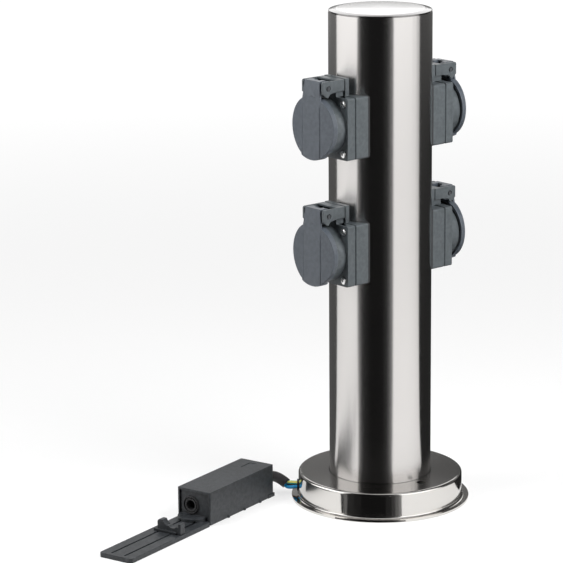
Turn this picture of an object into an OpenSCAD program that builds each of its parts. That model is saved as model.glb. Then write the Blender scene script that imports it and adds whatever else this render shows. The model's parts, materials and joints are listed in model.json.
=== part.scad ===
// Garden socket post: a steel tube on a spun base, four lidded sockets in pairs back to back,
// and a small supply connection box on three short leads.
// Millimetres, +Z up, origin on the ground under the middle of the tube.

/* [Post] */
// Outside diameter of the post tube
tube_d = 84; // [76:0.5:100]
// Wall thickness of the post tube
tube_wall = 1.5; // [1:0.1:2.5]
// Height of the whole post, from the ground to the top of the cap
post_height = 410; // [385:1:600]
// Thickness of the cap's disc
cap_t = 2.4; // [1.5:0.1:4]
// Radius on the cap's upper edge
cap_edge_r = 1.2; // [0.5:0.1:1.4]
// Depth of the cap's skirt inside the tube
cap_skirt = 9; // [5:0.5:14]

/* [Base] */
// Height of the base pan
base_h = 22.8; // [20:0.1:32]
// Diameter over the base pan's wall
pan_d = 136; // [130:0.5:180]
// Width of the lip outside the wall
lip_w = 5.8; // [4:0.1:12]
// Thickness of the lip
lip_t = 1.8; // [1.2:0.1:2.2]
// Sheet thickness of the pan's top and wall
pan_sheet = 1.5; // [1:0.1:2]
// Radius on the pan's upper edge
pan_edge_r = 2.4; // [1.5:0.1:3]
// Radius of the fillet from the wall into the lip
lip_fillet_r = 1.8; // [1:0.1:2]
// Distance between the two fixing holes
foot_hole_spacing = 99; // [96:0.5:108]
// Diameter of a fixing hole
foot_hole_d = 7; // [4.5:0.1:8]
// Height of the collar that locates the tube on the pan
collar_h = 8; // [4:0.5:14]

/* [Sockets] */
// Height of the lower sockets' centre
socket_z = 217.5; // [150:0.5:220]
// Distance between the lower and the upper sockets
socket_pitch = 103.2; // [95:0.1:104]
// Side of the square plate and frame
plate_size = 50; // [49:0.5:54]
// Corner radius of the plate and frame
plate_corner_r = 1.6; // [0.5:0.1:3]
// Thickness of the saddle gasket on the tube
gasket_t = 1.4; // [0.8:0.1:2]
// Distance from the tube's surface to the frame's front
frame_depth = 7.1; // [6.5:0.1:12]
// Thickness of the cover plate
plate_t = 8.4; // [7:0.1:10]
// Diameter of the round collar on the cover
collar_d = 45.5; // [43.5:0.1:46]
// Length of the collar in front of the plate
collar_len = 10.2; // [9:0.1:12]
// Diameter of the well that takes the plug
well_d = 39.2; // [38.6:0.1:39.6]
// Depth of the well
well_depth = 17.5; // [16.5:0.1:18]
// Distance between the plate's screws, both ways
screw_spacing = 40; // [39:0.1:42]
// Shank diameter of a plate screw
screw_d = 3.5; // [3:0.1:4]
// Head diameter of a plate screw
screw_head_d = 6.2; // [5:0.1:6.4]
// Distance between the two pin holes
pin_hole_spacing = 19; // [19:0.1:19.4]
// Diameter of a pin hole
pin_hole_d = 5.2; // [5:0.1:5.4]
// Diameter of the insert's body inside the tube
insert_d = 41; // [40:0.1:41.4]
// Length of the insert behind the well's floor
insert_len = 28.2; // [24:0.1:30]
// Width of an earth clip
earth_clip_w = 8; // [6:0.1:9]

/* [Lids] */
// Diameter of a lid's disc
lid_d = 50.5; // [49.5:0.1:51]
// Depth of a lid from its front to the rear of its rim
lid_depth = 6.1; // [5.5:0.1:7]
// Wall thickness of a lid
lid_wall = 2; // [1.5:0.1:2.5]
// Height of a lid's centre above the socket's centre
lid_rise = 0.9; // [0:0.1:1.2]
// Width of the flat strip down the front of a lid
strip_w = 20.8; // [18:0.1:22]
// How far the facet beside the strip falls back at the rim
facet_drop = 1.9; // [0.5:0.1:2.5]
// Half width of the finger tab under a lid
tab_half_w = 12.5; // [9:0.5:15]
// Radius of the finger tab's edge, round the lid's centre
tab_r = 26.3; // [26:0.1:28]
// Height of the hinge pin above the socket's centre
pin_rise = 32.6; // [32.4:0.1:33.4]
// Distance from the lid's front back to the hinge pin
pin_setback = 7.55; // [7.4:0.05:8]
// Diameter of the hinge pin
pin_d = 3; // [2.5:0.1:3.4]
// Radius of the knuckle round the hinge pin
knuckle_r = 6.1; // [5.8:0.1:6.2]
// Thickness of a hinge cheek
cheek_t = 2; // [1.4:0.1:2.2]
// Wire diameter of the lid spring
spring_wire_d = 0.8; // [0.6:0.05:0.9]
// Turns of the lid spring
spring_turns = 5; // [3:1:6]

/* [Connection box] */
// Place of the box's front right corner, left of the post's axis
box_corner_x = -158.4; // [-170:0.1:-150]
// Place of the box's front right corner, behind the post's axis
box_corner_y = 29.6; // [25:0.1:45]
// Turn of the box from the line of the sockets, in degrees
box_turn = 15.7; // [12:0.1:20]
// Length of the housing
box_len = 91; // [80:0.1:100]
// Width of the housing
box_w = 32.4; // [31:0.1:36]
// Height of the housing's top above the ground
box_h = 28.6; // [26:0.1:32]
// Wall thickness of the housing
box_wall = 2; // [1.5:0.1:2.4]
// Length of the tray in front of the housing
tray_len = 106; // [90:0.1:120]
// Thickness of the tray
tray_t = 4; // [3.4:0.1:4.6]
// Distance between the tray's two guide grooves
groove_spacing = 12.6; // [11:0.1:14]
// Width of a guide groove
groove_w = 1.6; // [1.4:0.1:2]
// Depth of a guide groove
groove_depth = 2.6; // [2.2:0.1:3]
// Bore of the cable gland
gland_bore_d = 8; // [6:0.1:10]
// Outside diameter of the cable gland
gland_d = 15.6; // [14:0.1:16.4]
// Height of the cable gland's centre
gland_z = 15; // [13.8:0.1:15.5]
// Distance from the tray's front wall to the middle of the strain relief
clamp_reach = 38; // [36:0.5:60]

/* [Leads] */
// Diameter of one insulated lead
lead_d = 3; // [2.4:0.1:3]
// Outside diameter of the black sleeve
sleeve_d = 8.8; // [8.6:0.1:9.2]
// Direction of the lead hole in the base pan, in degrees
lead_turn = 138; // [136:1:140]
// Height of the lead hole's centre
lead_z = 8.5; // [8.2:0.1:9]

/* [Hidden] */
POSITIONS = ["left_lower", "left_upper", "right_lower", "right_upper"];
SOCKET_PARTS = ["saddle_gasket", "mounting_frame", "socket_cover", "socket_insert", "pin_contacts",
    "earth_clip", "lid", "lid_seal", "hinge_pin", "lid_spring"];

$fn = 96;
// Room between two pieces that are put together and stay
seat_gap = 0.1;
// Room between two pieces that move past each other
move_gap = 0.3;
// Radial room of a pin in its hole
pin_fit = 0.05;
// Length by which a cutting tool runs past a face
past = 1;

tube_r = tube_d / 2;
tube_inner_r = tube_r - tube_wall;
cap_bottom_z = post_height - cap_t;
pan_r = pan_d / 2;
collar_wall = 2;
collar_outer_r = tube_inner_r - seat_gap;

socket_levels = [socket_z, socket_z + socket_pitch];
frame_x = tube_r + frame_depth;
plate_x = frame_x + plate_t;
collar_x = plate_x + collar_len;
well_floor_x = collar_x - well_depth;
saddle_r = tube_r + gasket_t;
insert_r = insert_d / 2;
insert_hole_r = insert_r + 5 * seat_gap;
insert_back_x = well_floor_x - insert_len;
flange_r = insert_r + 2;
flange_t = 2.6;
well_r = well_d / 2;
screw_at = screw_spacing / 2;
// The seam between the frame and the cover is a groove of this width and depth in each of them
seam_w = 0.6;
seam_depth = 0.7;
screw_head_t = 2;
screw_sink = 0.4;
screw_len = 26;

contact_r = 3.6;
contact_bore_r = pin_hole_d / 2 + 4 * seat_gap;
contact_front_x = well_floor_x - 7;
contact_back_x = insert_back_x - 2;
clip_t = 0.8;
clip_reach = well_r - 2.1;
clip_front_x = well_floor_x + 12;
key_w = 4.6;
key_h = 1.8;

lid_r = lid_d / 2;
lid_back_x = collar_x + move_gap;
lid_front_x = lid_back_x + lid_depth;
hinge_x = lid_front_x - pin_setback;
knuckle_half_w = strip_w / 2;
knuckle_top = pin_rise + knuckle_r;
// From its shoulder to its top the knuckle narrows by this at each side, and leans back by this
knuckle_taper = 1.4;
knuckle_lean = 1.2;
ear_inner_y = 3.6;
cheek_inner_y = knuckle_half_w + move_gap;
cheek_outer_y = cheek_inner_y + cheek_t;
cheek_front_x = hinge_x + knuckle_r;
cheek_top = knuckle_top - 0.2;
cheek_bottom = plate_size / 2 + 0.3;
cheek_corner_r = 1.6;
cheek_chamfer = 4.5;
cheek_chamfer_h = 3.5;
// Behind its nose a cheek's underside rises, and over the plate it stands clear of it
cheek_nose = 1;
cheek_rear_z = cheek_bottom + 4;
cheek_rise_x = cheek_front_x - cheek_chamfer - cheek_nose - 2.5;
cheek_rise_z = cheek_bottom + 2.8;
tower_x = frame_x + 0.7;
tower_wall = 1.6;
tower_foot_half_w = cheek_inner_y + 0.4;
tower_foot_z = plate_size / 2 - 1;
// The deck behind the knuckle ends just clear of its swing
deck_front_x = hinge_x - norm([pin_setback - knuckle_lean, knuckle_r]) - 2 * move_gap;
pin_ring_r = 2.2;
pin_ring_depth = 0.7;
coil_r = 2.4;
tower_floor_z = pin_rise - coil_r - spring_wire_d / 2;
pin_r = pin_d / 2;
seal_outer_r = lid_r - lid_wall - seat_gap;
seal_w = 3.2;

inner_y0 = box_wall + move_gap;
inner_y1 = box_w - box_wall - move_gap;
tray_inset = 0.4;
tray_corner_r = 2.5;
tray_mid_y = box_w / 2;
housing_bottom_z = 0.8;
front_wall_x = 1.6;
front_wall_t = 2.4;
front_wall_top = box_h - box_wall - move_gap;
tray_rear_x = box_len - box_wall - move_gap;
gland_y = box_w * 0.61;
gland_seat_r = gland_bore_d / 2 + 1.4;
gland_stand = 1.6;
clamp_x = front_wall_x - clamp_reach;
clamp_z = tray_t + move_gap;
sleeve_y = 7;
sleeve_z = 15.5;
block_front_x = box_len - 38;
block_rear_x = box_len - 18;
block_mid_y = 10;
block_pole_pitch = 5;
block_pole_z = 12;
block_top = 20;

lead_r = lead_d / 2;
sleeve_r = sleeve_d / 2;
sleeve_bore_r = sleeve_r - 0.6;
grommet_bore_r = 3.7;
grommet_body_r = 4.3;
grommet_flange_r = 5;
grommet_flange_t = 1.2;
// Middle line of the three leads, from the base pan's wall to the rear of the box
LEAD_ROUTE = [[-47.5, 42.9, 8.5], [-49.7, 44.9, 8.5], [-52.3, 47.2, 8.4], [-54.1, 49.9, 8], [-55.1, 52.7, 7.6],
    [-55.7, 55.2, 8.4], [-57.1, 57.8, 10.4], [-60.4, 60.5, 13.2], [-64.4, 62, 15], [-68.8, 62.1, 15.5],
    [-72.7, 61, 15.5], [-76.6, 59.9, 15.5]];
// The sleeve covers the route from this point to its end
SLEEVE_START = 5;
// Place of each lead beside and above the middle line: blue, green-yellow, brown
LEAD_OFFSETS = [[1.75, -1], [0, 2], [-1.75, -1]];
// How far the leads spread at each point of the route
LEAD_SPREAD = [1, 1, 1.05, 1.2, 1.15, 1, 1, 1, 1, 1, 1, 1];

steel = [0.78, 0.77, 0.75];
black_plastic = [0.24, 0.25, 0.27];
dark_rubber = [0.1, 0.1, 0.11];
brass = [0.78, 0.62, 0.3];
zinc = [0.8, 0.8, 0.8];

module at_socket(i) {
    translate([0, 0, socket_levels[i % 2]])
        rotate([0, 0, i < 2 ? 180 : 0])
            children();
}

module in_box() {
    translate([box_corner_x, box_corner_y, 0])
        rotate([0, 0, box_turn])
            children();
}

module at_lead_hole() {
    rotate([0, 0, lead_turn])
        translate([0, 0, lead_z])
            children();
}

// A cylinder along X from x0 to x1, centred on y and z
module rod_x(x0, x1, r, y = 0, z = 0) {
    translate([x0, y, z])
        rotate([0, 90, 0])
            cylinder(h = x1 - x0, r = r);
}

// A cylinder along Y, centred on y = 0
module rod_y(half_len, r, x, z) {
    translate([x, half_len, z])
        rotate([90, 0, 0])
            cylinder(h = 2 * half_len, r = r);
}

// A block from one corner to the opposite one
module block(low, high) {
    translate(low)
        cube(high - low);
}

// A rectangle with round corners, centred
module rounded_rect(w, h, r) {
    square([w - 2 * r, h], center = true);
    square([w, h - 2 * r], center = true);
    for (x = [-1, 1])
        for (y = [-1, 1])
            translate([x * (w / 2 - r), y * (h / 2 - r)])
                circle(r = r, $fn = 32);
}

// The square outline of the plate, or one drawn in from it, drawn out along X from x0 to x1
module plate_body(x0, x1, inset = 0) {
    translate([x0, 0, 0])
        rotate([90, 0, 90])
            linear_extrude(x1 - x0)
                rounded_rect(plate_size - 2 * inset, plate_size - 2 * inset, plate_corner_r - inset / 2);
}

// A side view in X and Z, drawn out along Y to both sides of y = 0
module side_view(y0, y1) {
    for (side = [-1, 1])
        translate([0, side > 0 ? y1 : -y0, 0])
            rotate([90, 0, 0])
                linear_extrude(y1 - y0)
                    children();
}

module for_screws() {
    for (y = [-screw_at, screw_at])
        for (z = [-screw_at, screw_at])
            translate([0, y, z])
                children();
}

function unit(v) = v / norm(v);
function tangent(path, i) = unit(path[min(i + 1, len(path) - 1)] - path[max(i - 1, 0)]);
function beside(path, i, up) = unit(cross(up, tangent(path, i)));
function above(path, i, up) = cross(tangent(path, i), beside(path, i, up));
function ring_points(path, r, sides, up) = [
    for (i = [0:len(path) - 1])
        for (k = [0:sides - 1])
            path[i] + r * cos(360 * k / sides) * beside(path, i, up)
                + r * sin(360 * k / sides) * above(path, i, up)];
function tube_faces(rings, sides, first) = [
    for (i = [0:rings - 2])
        for (k = [0:sides - 1])
            let (a = first + i * sides + k, b = first + i * sides + (k + 1) % sides)
                each [[a, a + sides, b + sides], [a, b + sides, b]]];
function fan(sides, first) = [for (k = [1:sides - 2]) [first, first + k, first + k + 1]];
function turned(faces) = [for (f = faces) [f[0], f[2], f[1]]];
function end_ring(outer, inner, sides) = [
    for (k = [0:sides - 1])
        let (n = (k + 1) % sides)
            each [[outer + k, outer + n, inner + n], [outer + k, inner + n, inner + k]]];

// A solid round cord along a path
module cord(path, r, sides, up) {
    rings = len(path);
    points = ring_points(path, r, sides, up);
    last = (rings - 1) * sides;
    faces = concat(tube_faces(rings, sides, 0), fan(sides, 0), turned(fan(sides, last)));
    polyhedron(points, faces, convexity = 8);
}

// A hollow sleeve along a path
module pipe(path, r_out, r_in, sides, up) {
    rings = len(path);
    last = (rings - 1) * sides;
    inner = rings * sides;
    points = concat(ring_points(path, r_out, sides, up), ring_points(path, r_in, sides, up));
    skins = concat(tube_faces(rings, sides, 0), turned(tube_faces(rings, sides, inner)));
    ends = concat(end_ring(0, inner, sides), turned(end_ring(last, inner + last, sides)));
    polyhedron(points, concat(skins, ends), convexity = 8);
}

// Post

module post_tube() {
    color(steel)
        difference() {
            translate([0, 0, base_h])
                cylinder(h = cap_bottom_z - base_h, r = tube_r);
            translate([0, 0, base_h - past])
                cylinder(h = post_height, r = tube_inner_r);
            for (z = socket_levels)
                translate([0, 0, z]) {
                    rod_x(-tube_d, tube_d, insert_hole_r);
                    for_screws()
                        rod_x(-tube_d, tube_d, screw_d / 2 + seat_gap);
                }
        }
}

module top_cap() {
    skirt_r = tube_inner_r - seat_gap;
    color(steel)
        translate([0, 0, cap_bottom_z])
            rotate_extrude($fn = 128) {
                square([tube_r, cap_t - cap_edge_r]);
                square([tube_r - cap_edge_r, cap_t]);
                translate([tube_r - cap_edge_r, cap_t - cap_edge_r])
                    intersection() {
                        circle(r = cap_edge_r, $fn = 32);
                        square(cap_edge_r);
                    }
                translate([skirt_r - tube_wall, -cap_skirt])
                    square([tube_wall, cap_skirt + seat_gap]);
            }
}

module pan_outline() {
    square([pan_r + lip_w, lip_t]);
    square([pan_r, base_h - pan_edge_r]);
    square([pan_r - pan_edge_r, base_h]);
    translate([pan_r - pan_edge_r, base_h - pan_edge_r])
        intersection() {
            circle(r = pan_edge_r, $fn = 48);
            square(pan_edge_r);
        }
    translate([pan_r, lip_t])
        difference() {
            square(lip_fillet_r);
            translate([lip_fillet_r, lip_fillet_r])
                circle(r = lip_fillet_r, $fn = 48);
        }
}

module pan_hollow() {
    inner_edge_r = pan_edge_r - min(pan_sheet, pan_edge_r - 0.2);
    inner_r = pan_r - pan_sheet;
    inner_h = base_h - pan_sheet;
    translate([0, -past]) {
        square([inner_r, inner_h - inner_edge_r + past]);
        square([inner_r - inner_edge_r, inner_h + past]);
    }
    translate([inner_r - inner_edge_r, inner_h - inner_edge_r])
        intersection() {
            circle(r = inner_edge_r, $fn = 32);
            square(inner_edge_r);
        }
    translate([0, -past])
        square([collar_outer_r - collar_wall, base_h + 2 * past]);
}

module base_pan() {
    color(steel)
        difference() {
            union() {
                rotate_extrude($fn = 160)
                    difference() {
                        pan_outline();
                        pan_hollow();
                    }
                translate([0, 0, base_h - pan_sheet])
                    difference() {
                        cylinder(h = collar_h + pan_sheet, r = collar_outer_r);
                        translate([0, 0, -past])
                            cylinder(h = collar_h + pan_sheet + 2 * past, r = collar_outer_r - collar_wall);
                    }
            }
            for (side = [-1, 1])
                translate([0, side * foot_hole_spacing / 2, base_h - pan_sheet - past])
                    cylinder(h = pan_sheet + 2 * past, r = foot_hole_d / 2, $fn = 48);
            at_lead_hole()
                rod_x(pan_r - 3 * pan_sheet, pan_r + lip_w, grommet_body_r + seat_gap);
        }
}

module cover_screws() {
    color(zinc)
        for (i = [0:3])
            at_socket(i)
                for_screws() {
                    rod_x(plate_x - screw_sink, plate_x - screw_sink + screw_head_t, screw_head_d / 2);
                    rod_x(plate_x - screw_sink - screw_len, plate_x - screw_sink, screw_d / 2);
                }
}

// One socket, drawn on the +X side with its centre at z = 0

module saddle_gasket() {
    color(dark_rubber)
        difference() {
            intersection() {
                plate_body(0, frame_x);
                translate([0, 0, -plate_size])
                    cylinder(h = 2 * plate_size, r = saddle_r);
            }
            translate([0, 0, -plate_size])
                cylinder(h = 2 * plate_size, r = tube_r);
            rod_x(0, plate_x, insert_hole_r);
            for_screws()
                rod_x(0, plate_x, screw_d / 2 + seat_gap);
        }
}

module mounting_frame() {
    heel_top = knuckle_top + 0.2;
    heel_t = 4.3;
    color(black_plastic)
        difference() {
            union() {
                plate_body(tube_r / 2, frame_x - seam_w);
                plate_body(tube_r / 2, frame_x, seam_depth);
                block([frame_x - heel_t, -cheek_outer_y, 0], [frame_x, cheek_outer_y, heel_top]);
            }
            translate([0, 0, -plate_size])
                cylinder(h = 2 * plate_size, r = saddle_r);
            rod_x(0, plate_x, insert_hole_r);
            rod_x(frame_x - flange_t, plate_x, flange_r + seat_gap);
            for_screws()
                rod_x(0, plate_x, screw_d / 2 + seat_gap);
        }
}

// Side view of a hinge cheek
module cheek_outline() {
    difference() {
        polygon([[tower_x, cheek_rear_z], [tower_x, cheek_top],
            [cheek_front_x - cheek_corner_r, cheek_top], [cheek_front_x, cheek_top - cheek_corner_r],
            [cheek_front_x, cheek_bottom + cheek_chamfer_h], [cheek_front_x - cheek_chamfer, cheek_bottom],
            [cheek_front_x - cheek_chamfer - cheek_nose, cheek_bottom], [cheek_rise_x, cheek_rise_z],
            [plate_x, cheek_rear_z]]);
        translate([hinge_x, pin_rise])
            circle(r = pin_r + pin_fit, $fn = 48);
    }
    translate([cheek_front_x - cheek_corner_r, cheek_top - cheek_corner_r])
        circle(r = cheek_corner_r, $fn = 48);
}

module hinge_tower() {
    side_view(cheek_inner_y, cheek_outer_y)
        cheek_outline();
    block([tower_x, -cheek_outer_y, cheek_rear_z], [tower_x + tower_wall, cheek_outer_y, cheek_top]);
    block([tower_x, -tower_foot_half_w, tower_foot_z], [plate_x, tower_foot_half_w, tower_floor_z]);
    block([tower_x, -cheek_outer_y, cheek_top - tower_wall], [deck_front_x, cheek_outer_y, cheek_top]);
}

module socket_cover() {
    color(black_plastic)
        difference() {
            union() {
                plate_body(frame_x + seam_w, plate_x);
                plate_body(frame_x, plate_x, seam_depth);
                rod_x(plate_x - past, collar_x, collar_d / 2);
                hinge_tower();
            }
            difference() {
                rod_x(frame_x - past, collar_x + past, well_r);
                for (side = [-1, 1])
                    block([well_floor_x + move_gap, side * (well_r - key_h / 2) - key_h / 2, -key_w / 2],
                        [collar_x - 2, side * (well_r - key_h / 2) + key_h / 2, key_w / 2]);
            }
            for_screws() {
                rod_x(frame_x - past, plate_x + past, screw_d / 2 + seat_gap);
                rod_x(plate_x - screw_sink, plate_x + past, screw_head_d / 2 + seat_gap);
            }
            for (side = [-1, 1])
                translate([hinge_x, side * cheek_outer_y, pin_rise])
                    rotate([90, 0, 0])
                        cylinder(h = 2 * pin_ring_depth, r = pin_ring_r, center = true);
        }
}

module socket_insert() {
    slot_half_w = earth_clip_w / 2 + seat_gap;
    slot_z = clip_reach - seat_gap;
    color(black_plastic)
        difference() {
            union() {
                rod_x(insert_back_x, frame_x, insert_r);
                rod_x(frame_x - flange_t, frame_x, flange_r);
                rod_x(frame_x - past, well_floor_x, well_r - 2 * seat_gap);
            }
            for (y = [-1, 1] * pin_hole_spacing / 2) {
                rod_x(insert_back_x, well_floor_x + past, pin_hole_d / 2, y);
                rod_x(insert_back_x - past, contact_front_x, contact_r + seat_gap, y);
            }
            for (side = [-1, 1])
                block([insert_back_x - past, -slot_half_w, min(side * slot_z, side * flange_r + side)],
                    [well_floor_x + past, slot_half_w, max(side * slot_z, side * flange_r + side)]);
        }
}

module pin_contacts() {
    color(brass)
        for (y = [-1, 1] * pin_hole_spacing / 2)
            difference() {
                rod_x(contact_back_x, contact_front_x, contact_r, y);
                rod_x(insert_back_x + 4, plate_x, contact_bore_r, y);
            }
}

module earth_clip() {
    half_w = earth_clip_w / 2;
    back_x = insert_back_x - clip_t;
    outer = clip_reach + clip_t;
    color(zinc) {
        block([back_x, -half_w, -outer], [insert_back_x, half_w, outer]);
        for (side = [-1, 1])
            block([back_x, -half_w, side > 0 ? clip_reach : -outer],
                [clip_front_x, half_w, side > 0 ? outer : -clip_reach]);
    }
}

module lid_front_view() {
    slope = facet_drop / (lid_r - strip_w / 2);
    reach = plate_size;
    back = slope * (reach - strip_w / 2);
    polygon([[hinge_x - knuckle_r, -reach], [lid_front_x - back, -reach], [lid_front_x, -strip_w / 2],
        [lid_front_x, strip_w / 2], [lid_front_x - back, reach], [hinge_x - knuckle_r, reach]]);
}

// The space that the knuckle may fill: narrower and further back towards its top
module knuckle_space() {
    shoulder_z = cheek_bottom;
    top_half_w = knuckle_half_w - knuckle_taper;
    intersection() {
        translate([hinge_x - knuckle_r - past, 0, 0])
            rotate([90, 0, 90])
                linear_extrude(plate_size)
                    polygon([[-knuckle_half_w, 0], [knuckle_half_w, 0], [knuckle_half_w, shoulder_z],
                        [top_half_w, knuckle_top], [-top_half_w, knuckle_top], [-knuckle_half_w, shoulder_z]]);
        side_view(-plate_size / 2, plate_size / 2)
            polygon([[hinge_x - plate_size, 0], [lid_front_x, 0], [lid_front_x, shoulder_z],
                [lid_front_x - knuckle_lean, knuckle_top], [hinge_x - plate_size, knuckle_top]]);
    }
}

module knuckle() {
    intersection() {
        union() {
            block([lid_front_x - lid_wall, -knuckle_half_w, 0], [lid_front_x, knuckle_half_w, knuckle_top]);
            side_view(ear_inner_y, knuckle_half_w) {
                translate([hinge_x, pin_rise])
                    circle(r = knuckle_r, $fn = 64);
                translate([hinge_x, pin_rise - knuckle_r])
                    square([lid_front_x - hinge_x, 2 * knuckle_r]);
            }
            block([hinge_x + 1.5, -ear_inner_y - past, knuckle_top - 1.8],
                [lid_front_x, ear_inner_y + past, knuckle_top]);
        }
        knuckle_space();
    }
}

module lid() {
    color(black_plastic)
        difference() {
            union() {
                intersection() {
                    union() {
                        rod_x(lid_back_x, lid_front_x, lid_r, 0, lid_rise);
                        intersection() {
                            rod_x(lid_back_x, lid_front_x, tab_r, 0, lid_rise);
                            block([lid_back_x, -tab_half_w, -plate_size], [lid_front_x, tab_half_w, 0]);
                        }
                    }
                    translate([0, 0, -plate_size])
                        linear_extrude(2 * plate_size)
                            lid_front_view();
                }
                knuckle();
            }
            rod_x(lid_back_x - past, lid_front_x - facet_drop - lid_wall, lid_r - lid_wall, 0, lid_rise);
            rod_y(cheek_outer_y, pin_r + pin_fit, hinge_x, pin_rise);
        }
}

module lid_seal() {
    color(dark_rubber)
        difference() {
            rod_x(lid_back_x, lid_front_x - facet_drop - lid_wall, seal_outer_r, 0, lid_rise);
            rod_x(0, lid_front_x, seal_outer_r - seal_w, 0, lid_rise);
        }
}

module hinge_pin() {
    color(zinc)
        rod_y(cheek_outer_y, pin_r, hinge_x, pin_rise);
}

// The spring winds round the hinge pin, from a leg on the tower's floor to one under the lid's top
module lid_spring() {
    steps = 10;
    pitch = spring_wire_d + 0.25;
    half_len = spring_turns * pitch / 2;
    centre = [hinge_x, 0, pin_rise];
    coil = [for (i = [0:spring_turns * steps])
        let (turn = -90 - 360 * i / steps)
            centre + [coil_r * cos(turn), i * pitch / steps - half_len, coil_r * sin(turn)]];
    fixed_leg = [for (x = [8.6, 5.6, 2.6]) centre + [-x, -half_len, -coil_r]];
    color(zinc)
        cord(concat(fixed_leg, coil), spring_wire_d / 2, 6, [0, 1, 0]);
}

module socket_part(part) {
    if (part == "saddle_gasket") saddle_gasket();
    if (part == "mounting_frame") mounting_frame();
    if (part == "socket_cover") socket_cover();
    if (part == "socket_insert") socket_insert();
    if (part == "pin_contacts") pin_contacts();
    if (part == "earth_clip") earth_clip();
    if (part == "lid") lid();
    if (part == "lid_seal") lid_seal();
    if (part == "hinge_pin") hinge_pin();
    if (part == "lid_spring") lid_spring();
}

// Wires and leads

function lead_point(lead, i) = LEAD_ROUTE[i]
    + LEAD_OFFSETS[lead][0] * LEAD_SPREAD[i] * beside(LEAD_ROUTE, i, [0, 0, 1])
    + LEAD_OFFSETS[lead][1] * LEAD_SPREAD[i] * above(LEAD_ROUTE, i, [0, 0, 1]);
function box_point(x, y, z) = [
    box_corner_x + x * cos(box_turn) - y * sin(box_turn),
    box_corner_y + x * sin(box_turn) + y * cos(box_turn), z];
function block_entry(lead, away) = box_point(
    block_rear_x + away, block_mid_y + (lead - 1) * block_pole_pitch, block_pole_z);

module lead(index, tint) {
    free = [for (i = [0:len(LEAD_ROUTE) - 1]) lead_point(index, i)];
    color(tint)
        cord(concat(free, [block_entry(index, 2 * lead_r), block_entry(index, 0)]), lead_r, 8, [0, 0, 1]);
}

// One conductor: in from the lead, up the tube, and out to the contacts on both sides
module inner_wire(index, y, contact_x, tint) {
    bend_r = 12;
    bend_steps = 4;
    start = lead_point(index, 0);
    straight_end = start + 4 * unit(LEAD_ROUTE[0] - LEAD_ROUTE[1]);
    foot = [0, y, start[2]];
    inward = unit(foot - straight_end);
    bend = [for (i = [0:bend_steps])
        let (turn = 90 * i / bend_steps)
            foot - bend_r * (1 - sin(turn)) * inward + [0, 0, bend_r * (1 - cos(turn))]];
    top = [0, y, socket_levels[1] + 2 * lead_r];
    color(tint) {
        cord(concat([start, straight_end], bend, [top]), lead_r, 8, [-inward[1], inward[0], 0]);
        for (z = socket_levels)
            cord([[-contact_x, y, z], [contact_x, y, z]], lead_r - 2 * seat_gap, 8, [0, 0, 1]);
    }
}

module lead_grommet() {
    inner_x = pan_r - pan_sheet - 2 * seat_gap;
    outer_x = pan_r + seat_gap / 2;
    color(dark_rubber)
        at_lead_hole()
            difference() {
                union() {
                    rod_x(inner_x - grommet_flange_t, outer_x + grommet_flange_t, grommet_body_r);
                    rod_x(outer_x, outer_x + grommet_flange_t, grommet_flange_r);
                    rod_x(inner_x - grommet_flange_t, inner_x, grommet_flange_r);
                }
                rod_x(0, pan_d, grommet_bore_r);
            }
}

module wire_sleeve() {
    covered = [for (i = [SLEEVE_START:len(LEAD_ROUTE) - 1]) LEAD_ROUTE[i]];
    color(dark_rubber)
        pipe(covered, sleeve_r, sleeve_bore_r, 12, [0, 0, 1]);
}

// Connection box

module box_housing() {
    recess = [14, 7, 0.6];
    flange_h = 3.2;
    flange_out = 1.2;
    color(black_plastic)
        in_box()
            difference() {
                union() {
                    translate([box_len / 2, box_w / 2, housing_bottom_z])
                        linear_extrude(box_h - housing_bottom_z)
                            rounded_rect(box_len, box_w, 1);
                    for (i = [1:3])
                        for (y = [0, box_w])
                            translate([box_len * (i / 4 + 0.03), y, housing_bottom_z])
                                cylinder(h = 1.8, r = 1.4, $fn = 24);
                    translate([box_len - 8, -flange_out / 2, housing_bottom_z])
                        cube([8 + flange_out, box_w + flange_out, flange_h]);
                }
                block([-past, box_wall, -past], [box_len - box_wall, box_w - box_wall, box_h - box_wall]);
                rod_x(box_len - 2 * box_wall, box_len + 3, sleeve_r + 2 * seat_gap, sleeve_y, sleeve_z);
                translate([box_len - 20, box_w / 2 - 4, box_h - recess[2]])
                    cube([recess[0], recess[1], 2 * recess[2]]);
            }
}

module box_tray() {
    front_x = -tray_len;
    groove_front = front_x + 4;
    groove_rear = -8;
    saddle_r = 13;
    saddle_h = 3;
    channel_r = gland_d / 2 + 0.6;
    color(black_plastic)
        in_box()
            difference() {
                union() {
                    translate([front_x / 2 - 1, tray_mid_y, 0])
                        linear_extrude(tray_t)
                            rounded_rect(tray_len - 2, box_w - 2 * tray_inset, tray_corner_r);
                    block([-tray_corner_r - 3, tray_inset, 0], [-move_gap, box_w - tray_inset, tray_t]);
                    block([-1, inner_y0, 0], [tray_rear_x, inner_y1, tray_t]);
                    block([front_wall_x, inner_y0, 0],
                        [front_wall_x + front_wall_t, inner_y1, front_wall_top]);
                    intersection() {
                        translate([front_wall_x, gland_y - 2, tray_t - past])
                            cylinder(h = saddle_h + past, r = saddle_r);
                        block([-tray_len, inner_y0, 0], [front_wall_x + past, inner_y1, box_h]);
                    }
                }
                for (side = [-1, 1])
                    block([groove_front, tray_mid_y + side * groove_spacing / 2 - groove_w / 2,
                        tray_t - groove_depth],
                        [groove_rear, tray_mid_y + side * groove_spacing / 2 + groove_w / 2, tray_t + past]);
                rod_x(-tray_len, front_wall_x, channel_r, gland_y, gland_z);
                rod_x(-tray_len, box_len / 2, gland_seat_r, gland_y, gland_z);
            }
}

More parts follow.
